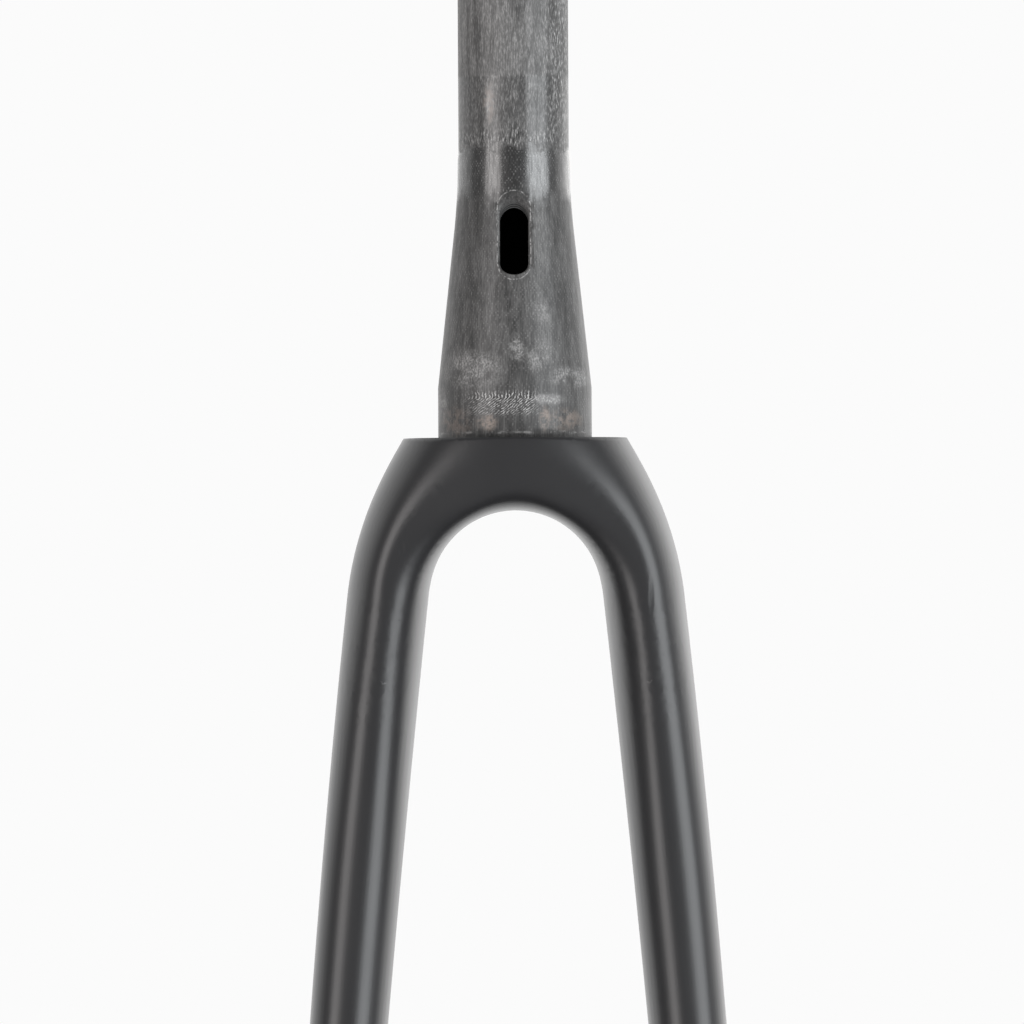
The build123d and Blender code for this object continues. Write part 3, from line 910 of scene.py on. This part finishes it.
def halve_long_edges(mesh):
    """Halves the long edges that lie on the skin, the steerer or a dropout."""
    cells = cleaned_cells(mesh)
    gap = cells.verts.layers.float["skin_gap"]
    steerer_radius = cells.verts.layers.float["steerer_radius"]
    axle_radius = cells.verts.layers.float["axle_radius"]

    def on_skin(vert):
        return vert[gap] < SKIN_SIZES["Snap distance"] and AXLE.z < vert.co.z < RIM_TOP

    def on_steerer(vert):
        return vert[steerer_radius] < STEERER_REACH and vert.co.z > BORE_FOOT

    def on_dropout(vert):
        return vert[axle_radius] < DROPOUT_REACH

    chosen = []
    for edge in cells.edges:
        ends = edge.verts
        shared = any(on(ends[0]) and on(ends[1]) for on in (on_skin, on_steerer, on_dropout))
        if shared and edge.calc_length() > LONG_EDGE:
            chosen.append(edge)
    bmesh.ops.subdivide_edges(cells, edges=chosen, cuts=1, use_grid_fill=True)
    bmesh.ops.triangulate(cells, faces=cells.faces)
    cells.to_mesh(mesh)
    cells.free()
    return len(chosen)


for halving in range(HALVINGS):
    print("halving", halving + 1, "of", halve_long_edges(smooth), "edges")
    smooth = put_back(smooth)
cells = cleaned_cells(smooth)
cells.to_mesh(smooth)
cells.free()
print("smooth skin:", len(smooth.polygons), "triangles")

# %% Dress the moulding
SHARP = radians(24)

fork_skin = bpy.data.objects.new("fork_skin", smooth)
bpy.context.scene.collection.objects.link(fork_skin)
for name in ("skin_gap", "steerer_radius", "axle_radius"):
    smooth.attributes.remove(smooth.attributes[name])
smooth.shade_smooth()
smooth.set_sharp_from_angle(angle=SHARP)
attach(fork_skin, "root")
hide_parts("fork_body")
print("fork_skin has finishes", [material.name for material in smooth.materials])

# %% [markdown]
# ## Turned and threaded aluminium
#
# The sleeve and the nut for the axle are turned on a lathe, and the tool leaves fine rings. The inserts for
# the brake are short hexagonal plugs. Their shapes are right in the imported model, with tapped holes as plain
# bores, so those pieces stay and only get a finish with rings by distance from the axle.

# %% Mix the metals
RING_PITCH = 0.18 * MM
RING_HEIGHT = 0.006 * MM
RING_ROUGHNESS = 0.12
MOTTLE_SHADE = 0.92


def aluminium(name, level, roughness):
    """Bare aluminium with fine rings round the axle's line."""
    finish = Finish(name, Metallic=1.0)
    mottle = finish.noise(2.5 * MM, 2.5 * MM, detail=3)
    ring_distance = length_of(finish.y - AXLE.y, finish.z - AXLE.z)
    rings = (ring_distance * (2 * pi / RING_PITCH)).math("SINE") * 0.5 + 0.5
    finish.feed("Base Color", finish.mix(mottle, grey(level * MOTTLE_SHADE), grey(level)))
    finish.feed("Roughness", blend(roughness, roughness + RING_ROUGHNESS, mottle * rings))
    finish.bump(rings, RING_HEIGHT)
    return finish


turned_metal = aluminium("turned_aluminium", level=0.62, roughness=0.28)
plain_metal = aluminium("plain_aluminium", level=0.55, roughness=0.34)
METALS = {"axle_sleeve": turned_metal, "axle_nut": turned_metal, "brake_inserts": plain_metal}
for node, finish in METALS.items():
    piece = frame["nodes"][node]
    piece.data.materials.clear()
    piece.data.materials.append(finish.material)
    print(node, "is", finish.material.name)

# %% [markdown]
# ## The studio
#
# The fork was lit by two tall soft boxes in front of it, the brighter one on the right, before a white wall
# with light on it. A dark satin surface shows that directly: two streaks on every leg, bright rims where it
# turns away and sees the wall, and dark bands between. A third, weak box behind on the right lifts the rims
# there. The world stands for the room. It is white to the camera and behind the fork, dimmer in front and in
# the upper left corner, and darker at the sides and below. The floor is a pale disc that fades out towards
# its edge and does not show in the paint.

# %% Soft boxes
BOX_DISTANCE = 1.3
BOX_HEIGHT = 1.25
BOX_LEVEL = 0.03


def soft_box(name, azimuth, width, radiance, colour):
    """A tall panel of light turned to the crown, by its angle round the fork from straight ahead."""
    light = bpy.data.lights.new(name, "AREA")
    light.shape = "RECTANGLE"
    light.size = width
    light.size_y = BOX_HEIGHT
    light.energy = radiance * pi * width * BOX_HEIGHT
    light.color = colour
    lamp = bpy.data.objects.new(name, light)
    bpy.context.scene.collection.objects.link(lamp)
    straight_ahead = Vector((0, -BOX_DISTANCE, BOX_LEVEL))
    lamp.location = Matrix.Rotation(radians(azimuth), 3, "Z") @ straight_ahead
    lamp.rotation_euler = (-lamp.location).to_track_quat("-Z", "Y").to_euler()
    lamp.visible_camera = False
    return lamp


boxes = [
    soft_box("left_soft_box", azimuth=-43, width=0.7, radiance=4.4, colour=(1.0, 0.965, 0.955)),
    soft_box("right_soft_box", azimuth=51, width=1.05, radiance=5.8, colour=(0.95, 0.98, 1.0)),
    soft_box("right_rim_box", azimuth=140, width=0.9, radiance=0.6, colour=(1.0, 0.98, 0.96)),
]
print("lit by", [box.name for box in boxes])

# %% The room
SEEN_WHITE = 0.965
FILL_LIGHT = 0.5
ROOM_LIGHT = 0.29
FRONT_LIGHT = 0.03
WALL_LIGHT = 1.35
CORNER_SHADE = 0.35
BELOW_SHADE = 0.8

world = bpy.data.worlds.new("white_studio")
world.use_nodes = True
bpy.context.scene.world = world
room = Graph(world.node_tree)
direction = room.node("ShaderNodeTexCoord")["Generated"]
sideways, away, upward = room.split(direction)
path = room.node("ShaderNodeLightPath")
wall = away.ramp(-0.05, 0.4)
front = away.ramp(-0.7, -0.95)
below = upward.ramp(-0.35, -0.75) * (1 - wall)
shaded_corner = sideways.ramp(-0.15, -0.5) * upward.ramp(-0.02, 0.05)
lit_wall = WALL_LIGHT * wall * (1 - CORNER_SHADE * shaded_corner)
mirrored = (ROOM_LIGHT + FRONT_LIGHT * front + lit_wall) * (1 - BELOW_SHADE * below)
seen = path["Is Camera Ray"]
reflected = (path["Is Glossy Ray"] + path["Is Transmission Ray"]).math("MINIMUM", 1) * (1 - seen)
level = seen * SEEN_WHITE + reflected * mirrored + (1 - seen - reflected) * FILL_LIGHT
background = world.node_tree.nodes["Background"]
background.inputs["Color"].default_value = grey(1.0)
world.node_tree.links.new(level.socket, background.inputs["Strength"])
print("room made of", len(world.node_tree.nodes), "nodes")

# %% The floor
FLOOR_RADIUS = 0.7
FLOOR_SIDES = 96
FADE_FROM = FLOOR_RADIUS * 0.35
FADE_TO = FLOOR_RADIUS * 0.98

floor_finish = Finish("pale_floor", Roughness=0.9)
floor_finish.feed("Base Color", floor_finish.mix(floor_finish.noise(0.08, 0.08), grey(0.86), grey(0.9)))
from_middle = length_of(floor_finish.x, floor_finish.y)
floor_finish.feed("Alpha", from_middle.ramp(FADE_TO, FADE_FROM))
cells = bmesh.new()
bmesh.ops.create_circle(cells, cap_ends=True, segments=FLOOR_SIDES, radius=FLOOR_RADIUS)
bmesh.ops.translate(cells, verts=cells.verts, vec=(0, 0, CAD_BOX[0][2]))
floor_mesh = bpy.data.meshes.new("floor")
cells.to_mesh(floor_mesh)
cells.free()
floor_mesh.materials.append(floor_finish.material)
floor = bpy.data.objects.new("floor", floor_mesh)
bpy.context.scene.collection.objects.link(floor)
floor.visible_glossy = False
print("floor at", round(CAD_BOX[0][2], 4))

# %% [markdown]
# ## The camera
#
# The picture is taken level with the crown from straight ahead, nearly two metres away. The fork leans by a
# third of a degree in it, which is the camera's roll.

# %% Place the camera
SENSOR = 36
VIEW_WIDTH = 265.3 * MM
CAMERA_DISTANCE = 1.9
CAMERA_ASIDE = -0.9 * MM
CAMERA_LEVEL = -19.1 * MM
CAMERA_ROLL = radians(0.3)

camera = bpy.data.objects.new("camera", bpy.data.cameras.new("camera"))
bpy.context.scene.collection.objects.link(camera)
camera.data.sensor_width = SENSOR
camera.data.lens = SENSOR * CAMERA_DISTANCE / VIEW_WIDTH
camera.location = (CAMERA_ASIDE, -CAMERA_DISTANCE, CAMERA_LEVEL)
upright = Matrix.Rotation(pi / 2, 3, "X")
camera.rotation_euler = (Matrix.Rotation(CAMERA_ROLL, 3, "Y") @ upright).to_euler()
bpy.context.scene.camera = camera
bpy.context.scene.view_settings.view_transform = "Standard"
print("lens", round(camera.data.lens), "mm")
